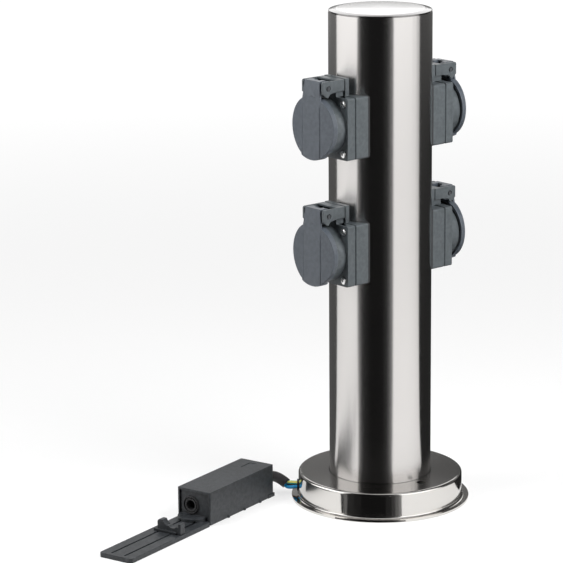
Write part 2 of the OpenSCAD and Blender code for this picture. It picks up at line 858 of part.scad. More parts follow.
module cable_gland() {
    face_x = front_wall_x;
    inner_x = front_wall_x + front_wall_t;
    color(dark_rubber)
        in_box()
            difference() {
                union() {
                    rod_x(face_x - gland_stand, face_x, gland_d / 2, gland_y, gland_z);
                    rod_x(face_x - gland_stand, inner_x + 3, gland_seat_r - seat_gap, gland_y, gland_z);
                }
                rod_x(-tray_len, box_len, gland_bore_d / 2, gland_y, gland_z);
            }
}

module cable_clamp() {
    base_t = 1.6;
    ear_len = 6;
    hook = [15.5, 24, 14];
    post = [1.2, 3.4, 13];
    channel_r = 6;
    channel_y = 9.4;
    channel_z = 14.5;
    runner_w = groove_w - 2 * move_gap;
    color(black_plastic)
        in_box()
            translate([clamp_x, 0, 0]) {
                difference() {
                    union() {
                        block([-10, 5, clamp_z], [8, 27, clamp_z + base_t]);
                        block([-ear_len / 2, post[0], clamp_z], [ear_len / 2, hook[1], 10]);
                        block([-ear_len / 2, hook[0], clamp_z], [ear_len / 2, hook[1], hook[2]]);
                        block([-ear_len / 2, post[0], clamp_z], [ear_len / 2, post[1], post[2]]);
                    }
                    rod_x(-tray_len, tray_len, channel_r, channel_y, channel_z);
                }
                for (side = [-1, 1])
                    block([-8, tray_mid_y + side * groove_spacing / 2 - runner_w / 2,
                        tray_t - groove_depth + move_gap],
                        [6, tray_mid_y + side * groove_spacing / 2 + runner_w / 2, clamp_z + base_t]);
            }
}

module terminal_block() {
    color([0.85, 0.85, 0.82])
        in_box()
            difference() {
                block([block_front_x, block_mid_y - 1.5 * block_pole_pitch, tray_t],
                    [block_rear_x, block_mid_y + 1.5 * block_pole_pitch, block_top]);
                for (pole = [-1, 0, 1]) {
                    rod_x(block_front_x - past, block_rear_x - 6, 1.8,
                        block_mid_y + pole * block_pole_pitch, block_pole_z);
                    for (x = [block_front_x + 5, block_rear_x - 5])
                        translate([x, block_mid_y + pole * block_pole_pitch, block_top - 4])
                            cylinder(h = 5, r = 1.7, $fn = 32);
                }
            }
}

module terminal_screws() {
    color(brass)
        in_box()
            for (pole = [-1, 0, 1])
                for (x = [block_front_x + 5, block_rear_x - 5])
                    translate([x, block_mid_y + pole * block_pole_pitch, block_top - 4])
                        difference() {
                            cylinder(h = 3.4, r = 1.6, $fn = 32);
                            translate([-2, -0.25, 2.7])
                                cube([4, 0.5, 1]);
                        }
}

post_tube();
top_cap();
base_pan();
cover_screws();
for (i = [0:3]) for (part = SOCKET_PARTS)
    at_socket(i) socket_part(part);
inner_wire(0, -pin_hole_spacing / 2, contact_back_x, [0.1, 0.3, 0.7]);  // inner_wire_blue
inner_wire(1, 0, insert_back_x - clip_t, [0.5, 0.7, 0.1]);  // inner_wire_green_yellow
inner_wire(2, pin_hole_spacing / 2, contact_back_x, [0.4, 0.22, 0.1]);  // inner_wire_brown
lead_grommet();
box_housing();
box_tray();
cable_gland();
cable_clamp();
terminal_block();
terminal_screws();
wire_sleeve();
lead(0, [0.1, 0.35, 0.75]);  // lead_blue
lead(1, [0.45, 0.7, 0.15]);  // lead_green_yellow
lead(2, [0.42, 0.24, 0.12]);  // lead_brown
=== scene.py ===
"""Looks of the garden socket post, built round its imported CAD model. Metres, +Z up."""
import json
import math

import bmesh
import bpy
from mathutils import Matrix, Vector


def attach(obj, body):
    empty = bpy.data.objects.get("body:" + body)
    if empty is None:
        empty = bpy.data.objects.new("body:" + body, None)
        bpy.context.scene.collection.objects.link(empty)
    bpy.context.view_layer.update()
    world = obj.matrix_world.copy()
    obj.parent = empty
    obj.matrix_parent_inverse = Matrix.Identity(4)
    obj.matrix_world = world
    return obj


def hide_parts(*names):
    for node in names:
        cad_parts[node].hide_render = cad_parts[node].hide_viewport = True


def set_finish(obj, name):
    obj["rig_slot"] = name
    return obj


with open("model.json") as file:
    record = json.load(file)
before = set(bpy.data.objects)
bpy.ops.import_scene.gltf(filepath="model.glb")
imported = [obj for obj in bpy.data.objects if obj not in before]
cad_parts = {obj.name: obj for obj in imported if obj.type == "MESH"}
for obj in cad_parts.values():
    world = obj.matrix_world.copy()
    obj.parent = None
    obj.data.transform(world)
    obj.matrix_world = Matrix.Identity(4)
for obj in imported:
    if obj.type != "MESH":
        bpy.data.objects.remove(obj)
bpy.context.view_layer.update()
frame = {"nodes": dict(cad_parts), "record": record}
NODES = frame["nodes"]
BODY_OF = {n: body for body, names in frame["record"]["behaviour"]["bodies"].items() for n in names}
SLOT_OF = {part["node"]: part["material_slot"] for part in frame["record"]["subparts"]}
POSITIONS = ("left_lower", "left_upper", "right_lower", "right_upper")
MM = 0.001
UP = Vector((0, 0, 1))

# Camera: its place in metres, and its turns in degrees

IMAGE_PX = 563
FOCAL_PX = 2816
SENSOR_MM = 36
CAMERA_PLACE = (-1.511, -1.659, 0.743)
CAMERA_HEADING = 40.26
CAMERA_DIP = 13.99
CAMERA_ROLL = -0.46
CLIP_START = 0.1
CLIP_END = 50


def turn(degrees, axis):
    return Matrix.Rotation(math.radians(degrees), 4, axis)


def make_camera():
    data = bpy.data.cameras.new("camera")
    data.lens = FOCAL_PX * SENSOR_MM / IMAGE_PX
    data.sensor_width = SENSOR_MM
    data.clip_start = CLIP_START
    data.clip_end = CLIP_END
    camera = bpy.data.objects.new("camera", data)
    bpy.context.scene.collection.objects.link(camera)
    camera.matrix_world = (
        Matrix.Translation(CAMERA_PLACE)
        @ turn(-CAMERA_HEADING, "Z")
        @ turn(90 - CAMERA_DIP, "X")
        @ turn(CAMERA_ROLL, "Z")
    )
    bpy.context.scene.camera = camera


make_camera()

# Meshes and pieces


def mesh_from(bm, name):
    mesh = bpy.data.meshes.new(name)
    bm.to_mesh(mesh)
    bm.free()
    return mesh


def new_piece(name, mesh):
    piece = bpy.data.objects.new(name, mesh)
    bpy.context.scene.collection.objects.link(piece)
    return piece


def stand_for(name, mesh, node, place=None):
    """A piece that replaces one CAD node and moves with its body."""
    piece = new_piece(name, mesh)
    if place is not None:
        piece.matrix_world = place
    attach(piece, BODY_OF[node])
    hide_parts(node)
    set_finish(piece, SLOT_OF[node])
    return piece


def circle_angles(sides):
    return [2 * math.pi * k / sides for k in range(sides)]


# Cords

# Middle line of the three leads, from the base pan's wall to the rear of the box
LEAD_ROUTE = [
    Vector(p) * MM
    for p in (
        (-47.5, 42.9, 8.5), (-49.7, 44.9, 8.5), (-52.3, 47.2, 8.4), (-54.1, 49.9, 8), (-55.1, 52.7, 7.6),
        (-55.7, 55.2, 8.4), (-57.1, 57.8, 10.4), (-60.4, 60.5, 13.2), (-64.4, 62, 15), (-68.8, 62.1, 15.5),
        (-72.7, 61, 15.5), (-76.6, 59.9, 15.5),
    )
]
# The sleeve covers the route from this point to its end
SLEEVE_START = 5
# Place of each lead beside and above the middle line, in millimetres
LEAD_OFFSETS = {"blue": (1.75, -1), "green_yellow": (0, 2), "brown": (-1.75, -1)}
# How far the leads spread at each point of the route
LEAD_SPREAD = (1, 1, 1.05, 1.2, 1.15, 1, 1, 1, 1, 1, 1, 1)
LEAD_R = 1.5 * MM
LEAD_SIDES = 16
SLEEVE_R = 4.4 * MM
SLEEVE_BORE_R = 3.8 * MM
SLEEVE_SIDES = 32
# Steps of the smooth path from one point of the route to the next
ROUTE_STEPS = 4
# The connection box's front right corner, and its turn in degrees
BOX_CORNER = Vector((-158.4, 29.6, 0)) * MM
BOX_TURN = 15.7
# In millimetres of the box's own frame: where the middle lead enters the terminal block, how far apart the
# poles are, and how far each lead runs straight before its pole
BLOCK_ENTRY = (73, 10, 12)
POLE_PITCH = 5
POLE_RUN = 3


def in_box(x, y, z):
    """A place in the connection box's own frame, in millimetres, as a point of the part's frame."""
    return BOX_CORNER + turn(BOX_TURN, "Z") @ (Vector((x, y, z)) * MM)


def tangent(path, i):
    return (path[min(i + 1, len(path) - 1)] - path[max(i - 1, 0)]).normalized()


def cross_axes(path, i):
    """The directions beside and above the path at one of its points."""
    along = tangent(path, i)
    beside = UP.cross(along).normalized()
    return beside, along.cross(beside)


def lead_points(colour, pole):
    """A lead's points beside the middle line, and then straight into its pole of the terminal block."""
    points = []
    for i, middle in enumerate(LEAD_ROUTE):
        beside, above = cross_axes(LEAD_ROUTE, i)
        out, rise = (v * MM * LEAD_SPREAD[i] for v in LEAD_OFFSETS[colour])
        points.append(middle + out * beside + rise * above)
    x, y, z = BLOCK_ENTRY
    return points + [in_box(x + away, y + pole * POLE_PITCH, z) for away in (POLE_RUN, 0)]


def smooth_path(points):
    """A smooth curve through the points."""
    ends = [2 * points[0] - points[1], *points, 2 * points[-1] - points[-2]]
    path = []
    for a, b, c, d in zip(ends, ends[1:], ends[2:], ends[3:]):
        for t in (k / ROUTE_STEPS for k in range(ROUTE_STEPS)):
            straight = 2 * b + (c - a) * t
            bend = (2 * a - 5 * b + 4 * c - d) * t**2
            path.append(0.5 * (straight + bend + (3 * b - a - 3 * c + d) * t**3))
    return path + [points[-1]]


def tube_mesh(name, path, radii, sides):
    """A tube along a path, with one skin for each radius. Its UV map runs round and along it."""
    bm = bmesh.new()
    layer = bm.loops.layers.uv.new("UVMap")
    skins = []
    for radius in radii:
        rings = []
        for i, middle in enumerate(path):
            beside, above = cross_axes(path, i)
            ways = [math.cos(a) * beside + math.sin(a) * above for a in circle_angles(sides)]
            rings.append([bm.verts.new(middle + radius * way) for way in ways])
        skins.append(rings)
    # The outer skin's faces turn one way and the inner skin's the other
    for rings, order in zip(skins, (-1, 1)):
        for i, (ring, after) in enumerate(zip(rings, rings[1:])):
            for k in range(sides):
                n = (k + 1) % sides
                face = bm.faces.new([ring[k], after[k], after[n], ring[n]][::order])
                uvs = ((k, i), (k, i + 1), (k + 1, i + 1), (k + 1, i))
                for loop, (u, v) in zip(face.loops, uvs[::order]):
                    loop[layer].uv = (u / sides, v / len(path))
    for end, order in ((0, -1), (-1, 1)):
        outer, inner = skins[0][end], skins[-1][end]
        if outer is inner:
            bm.faces.new(outer[::order])
            continue
        for k in range(sides):
            n = (k + 1) % sides
            bm.faces.new([outer[k], outer[n], inner[n], inner[k]][::order])
    bmesh.ops.recalc_face_normals(bm, faces=bm.faces)
    for face in bm.faces:
        face.smooth = len(face.verts) == 4
    return mesh_from(bm, name)


def make_leads():
    leads = {}
    for pole, colour in zip((-1, 0, 1), LEAD_OFFSETS):
        path = smooth_path(lead_points(colour, pole))
        node = "lead_" + colour
        name = node + "_wire"
        leads[colour] = (stand_for(name, tube_mesh(name, path, [LEAD_R], LEAD_SIDES), node), path)
    route = smooth_path(LEAD_ROUTE[SLEEVE_START:])
    hose = tube_mesh("sleeve", route, [SLEEVE_R, SLEEVE_BORE_R], SLEEVE_SIDES)
    return leads, stand_for("sleeve", hose, "wire_sleeve")


leads, sleeve = make_leads()

# Softened pieces: moulded parts get round edges that the CAD model leaves sharp

# Heights of the sockets' middles
SOCKET_LEVELS = {"lower": 217.5 * MM, "upper": 320.7 * MM}
# Points closer than this become one
WELD = 0.002 * MM
# In degrees: faces of the CAD mesh that turn by less than the first are one flat face, edges that turn by
# more than the second get round, and shading stays crisp on edges that then turn by more than the third
FLAT_ANGLE = 0.4
SHARP_ANGLE = 24
CRISP_ANGLE = 50
# Widths of the round edges
SOCKET_ROUNDING = {"lid": 0.35 * MM, "socket_cover": 0.3 * MM, "mounting_frame": 0.3 * MM}
BOX_ROUNDING = {"box_housing": 0.35 * MM, "box_tray": 0.3 * MM}


def socket_frame(position):
    """From a socket's own frame, drawn on the +X side at z = 0, to its place on the post."""
    side, level = position.split("_")
    return Matrix.Translation((0, 0, SOCKET_LEVELS[level])) @ turn(180 if side == "left" else 0, "Z")


def clean_mesh(node, to_local):
    """The faces of a CAD node without their triangles, in another frame."""
    bm = bmesh.new()
    bm.from_mesh(NODES[node].data)
    bmesh.ops.transform(bm, matrix=to_local @ NODES[node].matrix_world, verts=bm.verts)
    bmesh.ops.remove_doubles(bm, verts=bm.verts, dist=WELD)
    bmesh.ops.dissolve_limit(
        bm, angle_limit=math.radians(FLAT_ANGLE), verts=bm.verts, edges=bm.edges,
        use_dissolve_boundaries=False,
    )
    return bm


def soften(bm, width, sharp=SHARP_ANGLE):
    """Round every edge that turns by more than the sharp angle, and keep the body in its old box."""
    low = [min(v.co[axis] for v in bm.verts) for axis in range(3)]
    high = [max(v.co[axis] for v in bm.verts) for axis in range(3)]
    edges = [e for e in bm.edges if e.is_manifold and e.calc_face_angle(0) > math.radians(sharp)]
    bmesh.ops.bevel(
        bm, geom=edges, offset=width, offset_type="OFFSET", segments=2, profile=0.5,
        affect="EDGES", clamp_overlap=False, miter_outer="ARC", loop_slide=True,
    )
    for vert in bm.verts:
        vert.co = [min(max(c, a), b) for c, a, b in zip(vert.co, low, high)]


def shaded_mesh(bm, name):
    """A smooth mesh whose flat faces stay flat, because the large faces lead the normals."""
    for face in bm.faces:
        face.smooth = True
    mesh = mesh_from(bm, name)
    mesh.set_sharp_from_angle(angle=math.radians(CRISP_ANGLE))
    carrier = new_piece(name, mesh)
    weighted = carrier.modifiers.new("weighted", "WEIGHTED_NORMAL")
    weighted.weight = 100
    weighted.keep_sharp = True
    view = bpy.context.evaluated_depsgraph_get()
    result = bpy.data.meshes.new_from_object(carrier.evaluated_get(view))
    bpy.data.objects.remove(carrier)
    bpy.data.meshes.remove(mesh)
    result.name = name
    return result


def softened_in_box(node, width):
    bm = clean_mesh(node, Matrix.Identity(4))
    soften(bm, width)
    return stand_for(node + "_soft", shaded_mesh(bm, node + "_soft"), node)


def softened_at_sockets(kind, width, cutters):
    """One mesh, softened and cut once, at all four sockets."""
    bm = clean_mesh(kind + "_right_lower", socket_frame("right_lower").inverted())
    soften(bm, width)
    if cutters:
        bm = cut(bm, cutters)
    mesh = shaded_mesh(bm, kind + "_soft")
    return [
        stand_for(f"{kind}_soft_{position}", mesh, f"{kind}_{position}", socket_frame(position))
        for position in POSITIONS
    ]


# Turned and cut details


def turned_body(profile, sides):
    """A closed body from a profile of (radius, height) turned round Z. It starts and ends on the axis."""
    bm = bmesh.new()
    rings = []
    for r, z in profile:
        if r == 0:
            rings.append([bm.verts.new((0, 0, z))])
        else:
            rings.append([bm.verts.new((r * math.cos(a), r * math.sin(a), z)) for a in circle_angles(sides)])
    for ring, after in zip(rings, rings[1:]):
        for k in range(sides):
            n = (k + 1) % sides
            corners = [ring[k % len(ring)], ring[n % len(ring)], after[n % len(after)], after[k % len(after)]]
            bm.faces.new(list(dict.fromkeys(corners)))
    bmesh.ops.recalc_face_normals(bm, faces=bm.faces)
    return bm


def turned_ring(profile, sides):
    """A ring from a closed profile that stays clear of the axis."""
    bm = turned_body([*profile, profile[0]], sides)
    bmesh.ops.remove_doubles(bm, verts=bm.verts, dist=WELD)
    bmesh.ops.recalc_face_normals(bm, faces=bm.faces)
    return bm


def arc(centre, radius, start, end, steps):
    """Profile points on an arc, in degrees from the radial direction."""
    angles = [math.radians(start + (end - start) * k / steps) for k in range(steps + 1)]
    return [(centre[0] + radius * math.cos(a), centre[1] + radius * math.sin(a)) for a in angles]


def block_mesh(low, high):
    """A cutter between two corners."""
    bm = bmesh.new()
    bmesh.ops.create_cube(bm, size=1)
    middle = (Vector(low) + Vector(high)) / 2
    size = Vector(high) - Vector(low)
    bmesh.ops.transform(bm, matrix=Matrix.Translation(middle) @ Matrix.Diagonal((*size, 1)), verts=bm.verts)
    return mesh_from(bm, "cutter")


def cut(bm, cutters):
    """The body without the space of the cutters."""
    mesh = mesh_from(bm, "uncut")
    body = new_piece("body", mesh)
    tools = [new_piece("tool", cutter) for cutter in cutters]
    for tool in tools:
        modifier = body.modifiers.new("cut", "BOOLEAN")
        modifier.operation = "DIFFERENCE"
        modifier.solver = "EXACT"
        modifier.object = tool
    view = bpy.context.evaluated_depsgraph_get()
    result = bpy.data.meshes.new_from_object(body.evaluated_get(view))
    left = bmesh.new()
    left.from_mesh(result)
    for piece in (body, *tools):
        bpy.data.objects.remove(piece)
    for spent in (mesh, result, *cutters):
        bpy.data.meshes.remove(spent)
    return left


# The lines along the lid's flat strip, in a socket's own frame
LID_FRONT_X = 74.1 * MM
STRIP_W = 20.8 * MM
# Place across the lid and width of each line: the one on the facet's side is the wide one
GROOVE_WIDTHS = {-STRIP_W / 2: 0.3 * MM, STRIP_W / 2: 0.75 * MM}
GROOVE_DEEP = 0.6 * MM
GROOVE_LOW = -24.5 * MM
GROOVE_HIGH = 18.5 * MM


def strip_grooves():
    near, far = LID_FRONT_X - GROOVE_DEEP, LID_FRONT_X + GROOVE_DEEP
    return [
        block_mesh((near, y - width / 2, GROOVE_LOW), (far, y + width / 2, GROOVE_HIGH))
        for y, width in GROOVE_WIDTHS.items()
    ]


# The post's height and the cap's thickness are those of the CAD model
POST_HEIGHT = 410 * MM
CAP_T = 2.4 * MM
CAP_SIDES = 128
DOME_STEPS = 12
SHOULDER_STEPS = 8
# The shoulder falls with this power of the way across it
SHOULDER_POWER = 1.5


def make_cap():
    """A slightly domed disc with a sloping shoulder, a shadow groove above the tube and a skirt in it."""
    shoulder_r, rim, dome_drop, shoulder_drop, edge_r = 36 * MM, 41.7 * MM, 0.3 * MM, 0.9 * MM, 0.5 * MM
    groove_h, groove_r, skirt_out, skirt_in, skirt_deep = 0.6 * MM, 40.7 * MM, 40.4 * MM, 38.9 * MM, 9 * MM
    bottom = POST_HEIGHT - CAP_T
    across = rim - edge_r - shoulder_r
    dome = [
        (shoulder_r * t, POST_HEIGHT - dome_drop * t**2)
        for t in (k / DOME_STEPS for k in range(DOME_STEPS + 1))
    ]
    fall = shoulder_drop / across**SHOULDER_POWER
    shoulder = [
        (shoulder_r + w, POST_HEIGHT - dome_drop - fall * w**SHOULDER_POWER)
        for w in (across * k / SHOULDER_STEPS for k in range(1, SHOULDER_STEPS + 1))
    ]
    edge = arc((rim - edge_r, shoulder[-1][1] - edge_r), edge_r, 75, 0, 4)
    under = [
        (rim, bottom + groove_h), (groove_r, bottom + groove_h), (groove_r, bottom), (skirt_out, bottom),
        (skirt_out, bottom - skirt_deep), (skirt_in, bottom - skirt_deep), (skirt_in, bottom), (0, bottom),
    ]
    body = turned_body(dome + shoulder + edge + under, CAP_SIDES)
    return stand_for("cap_domed", shaded_mesh(body, "cap_domed"), "top_cap")


# The plate screws, as in the CAD model: the plate's front, and each screw's place on it
PLATE_X = 57.5 * MM
SCREW_AT = 20 * MM
SCREW_SINK = 0.4 * MM
SCREW_LEN = 26 * MM
SCREW_HEAD_R = 3.1 * MM
SCREW_HEAD_T = 2 * MM
SCREW_R = 1.75 * MM
SCREW_SIDES = 32
# Each screw's recess stands this much further round than the one before, in degrees
SCREW_SPIN = 37


def make_screws():
    """Sixteen round-headed screws with cross recesses, in one piece."""
    crown, recess_w, recess_len, recess_deep = 0.9 * MM, 0.6 * MM, 2.6 * MM, 0.9 * MM
    side = SCREW_HEAD_T - crown
    quarter = [math.radians(15 * k) for k in range(7)]
    head = [(SCREW_HEAD_R * math.sin(a), side + crown * math.cos(a)) for a in quarter]
    head[0] = (0, SCREW_HEAD_T)
    shank = [(SCREW_HEAD_R, 0), (SCREW_R, 0), (SCREW_R, -SCREW_LEN), (0, -SCREW_LEN)]
    low, high = SCREW_HEAD_T - recess_deep, SCREW_HEAD_T + recess_w
    slots = [
        block_mesh((-recess_len / 2, -recess_w / 2, low), (recess_len / 2, recess_w / 2, high)),
        block_mesh((-recess_w / 2, -recess_len / 2, low), (recess_w / 2, recess_len / 2, high)),
    ]
    screw = shaded_mesh(cut(turned_body(head + shank, SCREW_SIDES), slots), "screw")
    places = [(position, y, z) for position in POSITIONS for y in (-1, 1) for z in (-1, 1)]
    bm = bmesh.new()
    for number, (position, y, z) in enumerate(places):
        seat = Matrix.Translation((PLATE_X - SCREW_SINK, y * SCREW_AT, z * SCREW_AT)) @ turn(90, "Y")
        count = len(bm.verts)
        bm.from_mesh(screw)
        bm.verts.ensure_lookup_table()
        spin = turn(SCREW_SPIN * number, "Z")
        bmesh.ops.transform(bm, matrix=socket_frame(position) @ (seat @ spin), verts=bm.verts[count:])
    return stand_for("plate_screws", shaded_mesh(bm, "plate_screws"), "cover_screws")


# Middle of the gland on the box's front wall, in millimetres of the box's own frame
GLAND_SEAT = (1.6, 19.76, 15)
GLAND_SIDES = 64


def make_gland():
    """A gland with a rounded outer ring, a groove and an inner ring round its bore."""
    # Radius and height above the wall, in millimetres: inner ring, groove, outer ring and shank
    profile = [(4, -5.4), (4, 0.9), (4.3, 1.2), (5.6, 1.2), (5.7, 0.2), (6.3, 0.2), (6.4, 1.3)]
    profile += arc((6.9, 1.1), 0.5, 150, 0, 6) + [(7.8, 0.4), (7.8, 0), (5.3, 0), (5.3, -5.4)]
    body = turned_ring([(r * MM, h * MM) for r, h in profile], GLAND_SIDES)
    seat = Matrix.Translation(in_box(*GLAND_SEAT)) @ turn(BOX_TURN, "Z") @ turn(-90, "Y")
    return stand_for("gland_turned", shaded_mesh(body, "gland_turned"), "cable_gland", seat)


# The strain relief, in millimetres of the box's own frame. The long edges above this height get round, each
# given as its place across the box and its radius
CLAMP_TOP_Z = 12.9
CLAMP_TOP_EDGES = ((24, 2.4), (1.2, 0.7), (3.4, 0.7))
CLAMP_TOP_MIN_LEN = 5
CLAMP_PLACE_SLACK = 0.1
# The hook's hollow is round and runs along the box
HOLLOW_MIDDLE = Vector((-36.4, 13.6, 15.6))
HOLLOW_R = 5.5
HOLLOW_HALF_LEN = 8
HOLLOW_SIDES = 48
# Two corners of the space at the front in which nothing of the base stays
CLAMP_FRONT = ((-60, 3, 0), (-40.6, 29, 7))
CLAMP_ROUNDING = 0.15 * MM
CLAMP_SHARP_ANGLE = 40


def is_top_edge(edge, place):
    """Whether this is a long top edge of the strain relief at this place across the box."""
    at_top = all(
        v.co.z > CLAMP_TOP_Z * MM and abs(v.co.y - place * MM) < CLAMP_PLACE_SLACK * MM for v in edge.verts
    )
    return at_top and edge.calc_length() > CLAMP_TOP_MIN_LEN * MM


def make_clamp():
    """The strain relief with a rounded, hollowed hook, on a base that ends at its front."""
    box_frame = Matrix.Translation(BOX_CORNER) @ turn(BOX_TURN, "Z")
    bm = clean_mesh("cable_clamp", box_frame.inverted())
    for place, radius in CLAMP_TOP_EDGES:
        bmesh.ops.bevel(
            bm, geom=[e for e in bm.edges if is_top_edge(e, place)], offset=radius * MM, offset_type="OFFSET",
            segments=5, profile=0.5, affect="EDGES", clamp_overlap=False,
        )
    r, half = HOLLOW_R * MM, HOLLOW_HALF_LEN * MM
    hollow = turned_body([(0, -half), (r, -half), (r, half), (0, half)], HOLLOW_SIDES)
    along_box = Matrix.Translation(HOLLOW_MIDDLE * MM) @ turn(90, "Y")
    bmesh.ops.transform(hollow, matrix=along_box, verts=hollow.verts)
    front = block_mesh(*([c * MM for c in corner] for corner in CLAMP_FRONT))
    bm = cut(bm, [mesh_from(hollow, "hollow"), front])
    bmesh.ops.remove_doubles(bm, verts=bm.verts, dist=WELD)
    soften(bm, CLAMP_ROUNDING, CLAMP_SHARP_ANGLE)
    return stand_for("cable_clamp_soft", shaded_mesh(bm, "cable_clamp_soft"), "cable_clamp", box_frame)


soft_pieces = [make_cap(), make_screws(), make_gland(), make_clamp()]
for kind, width in SOCKET_ROUNDING.items():
    soft_pieces += softened_at_sockets(kind, width, strip_grooves() if kind == "lid" else [])
for node, width in BOX_ROUNDING.items():
    soft_pieces.append(softened_in_box(node, width))

# Materials

# Where the noise is below the first a surface has its dark colour, and above the second its light one
TINT_RANGE = (0.35, 0.65)
# Fine lines of turned and brushed steel: how fast they change along themselves and across
LINES_ALONG = 14
LINES_ACROSS = 2600
LINES_DETAIL = 4
STEEL_BUMP = 0.05
STEEL_BUMP_DEPTH = 0.01 * MM
# A quarter of a turn from the tangent round Z
BRUSHED_ROTATION = 0.25
# Soft patches and fine grain of moulded plastic, and how far the grain changes the roughness
PATCH_SCALE = 330
PATCH_DETAIL = 5
GRAIN_DETAIL = 2
GRAIN_DEPTH = 0.1 * MM
PLASTIC_SMOOTHER = 0.05
PLASTIC_ROUGHER = 0.07
# Soft patches of plain surfaces, and how far they change the roughness
PLAIN_SCALE = 300
PLAIN_DETAIL = 4
PLAIN_ROUGHNESS = (0.85, 1.15)
# Painted shade on the steel: where the cap's shoulder with painted shade starts, where the pan's top with
# painted shade starts, and where the painted shadow line at the tube's foot ends: each a narrow range of
# reach or height, with the share of the colour that is left
CAP_SHOULDER = (35.8 * MM, 36.2 * MM)
CAP_PAINTED_SHADE_SHARE = 0.42
PAN_TOP = (22.3 * MM, 22.6 * MM)
PAN_TOP_PAINTED_SHADE = 0.55
FOOT_SHADOW_LINE = (42.6 * MM, 43 * MM)
FOOT_SHADOW_SHARE = 0.08


def new_material(name, colour, roughness, metallic=0.0):
    material = bpy.data.materials.new(name)
    material.use_nodes = True
    shader = material.node_tree.nodes["Principled BSDF"]
    shader.inputs["Base Color"].default_value = (*colour, 1)
    shader.inputs["Roughness"].default_value = roughness
    shader.inputs["Metallic"].default_value = metallic
    return material, shader


def bare_material(name):
    """A material with nothing but its output."""
    material = bpy.data.materials.new(name)
    material.use_nodes = True
    material.node_tree.nodes.clear()
    return material, add_node(material, "ShaderNodeOutputMaterial").inputs["Surface"]


def add_node(material, kind, **values):
    """A node, with values for its settings or for its inputs."""
    node = material.node_tree.nodes.new(kind)
    for key, value in values.items():
        if hasattr(node, key):
            setattr(node, key, value)
        else:
            node.inputs[key].default_value = value
    return node


def link(material, output, target):
    material.node_tree.links.new(output, target)


def math_node(material, operation, first, second):
    node = add_node(material, "ShaderNodeMath", operation=operation)
    link(material, first, node.inputs[0])
    link(material, second, node.inputs[1])
    return node.outputs[0]


def map_range(material, value, first, last, low=0, high=1):
    """A number that goes from low to high as the value goes from first to last."""
    spread = add_node(material, "ShaderNodeMapRange")
    for key, number in (("From Min", first), ("From Max", last), ("To Min", low), ("To Max", high)):
        spread.inputs[key].default_value = number
    link(material, value, spread.inputs["Value"])
    return spread.outputs["Result"]


def object_place(material):
    return add_node(material, "ShaderNodeTexCoord").outputs["Object"]


def axis_reach(material):
    """Distance from the post's axis."""
    flat = add_node(material, "ShaderNodeVectorMath", operation="MULTIPLY")
    flat.inputs[1].default_value = (1, 1, 0)
    reach = add_node(material, "ShaderNodeVectorMath", operation="LENGTH")
    link(material, object_place(material), flat.inputs[0])
    link(material, flat.outputs["Vector"], reach.inputs[0])
    return reach.outputs["Value"]


def place_axes(material):
    """The place's X, Y and Z as three numbers."""
    split = add_node(material, "ShaderNodeSeparateXYZ")
    link(material, object_place(material), split.inputs[0])
    return split.outputs


def object_noise(material, scale, detail):
    noise = add_node(material, "ShaderNodeTexNoise", Scale=scale, Detail=detail)
    link(material, object_place(material), noise.inputs["Vector"])
    return noise.outputs["Fac"]


def turned_lines(material):
    """Noise in fine lines round the post's axis.

    They lie one above another on walls, and one inside another on flat tops.
    """
    axes = place_axes(material)
    lines = add_node(material, "ShaderNodeCombineXYZ")
    mapping = add_node(material, "ShaderNodeMapping", Scale=(LINES_ALONG, LINES_ALONG, LINES_ACROSS))
    noise = add_node(material, "ShaderNodeTexNoise", Scale=1, Detail=LINES_DETAIL)
    link(material, axes["X"], lines.inputs["X"])
    link(material, axes["Y"], lines.inputs["Y"])
    link(material, math_node(material, "ADD", axis_reach(material), axes["Z"]), lines.inputs["Z"])
    link(material, lines.outputs[0], mapping.inputs["Vector"])
    link(material, mapping.outputs[0], noise.inputs["Vector"])
    return noise.outputs["Fac"]


def vary_roughness(material, shader, noise, low, high):
    link(material, map_range(material, noise, 0, 1, low, high), shader.inputs["Roughness"])


def roughen(material, shader, noise, strength, depth):
    """Fine relief on the surface."""
    bump = add_node(material, "ShaderNodeBump", Strength=strength, Distance=depth)
    link(material, noise, bump.inputs["Height"])
    link(material, bump.outputs["Normal"], shader.inputs["Normal"])


def mix_colours(material, share, first, second):
    """A colour that goes from the first to the second as the share goes from 0 to 1."""
    mix = add_node(material, "ShaderNodeMix", data_type="RGBA")
    for socket, colour in zip((s for s in mix.inputs if s.type == "RGBA"), (first, second)):
        if isinstance(colour, bpy.types.NodeSocket):
            link(material, colour, socket)
        else:
            socket.default_value = (*colour, 1)
    link(material, share, mix.inputs["Factor"])
    return next(s for s in mix.outputs if s.type == "RGBA")


def tint(material, shader, noise, dark, light):
    """The base colour drifts between two close colours."""
    share = map_range(material, noise, *TINT_RANGE)
    link(material, mix_colours(material, share, dark, light), shader.inputs["Base Color"])


def steel(name, colour, smooth, rough, brushed):
    """Steel with fine turned lines, between two values of roughness and with this much anisotropy."""
    material, shader = new_material(name, colour, smooth, 1.0)
    grain = turned_lines(material)
    vary_roughness(material, shader, grain, smooth, rough)
    roughen(material, shader, grain, STEEL_BUMP, STEEL_BUMP_DEPTH)
    shader.inputs["Anisotropic"].default_value = brushed
    shader.inputs["Anisotropic Rotation"].default_value = BRUSHED_ROTATION
    along = add_node(material, "ShaderNodeTangent", direction_type="RADIAL", axis="Z")
    link(material, along.outputs["Tangent"], shader.inputs["Tangent"])
    return material


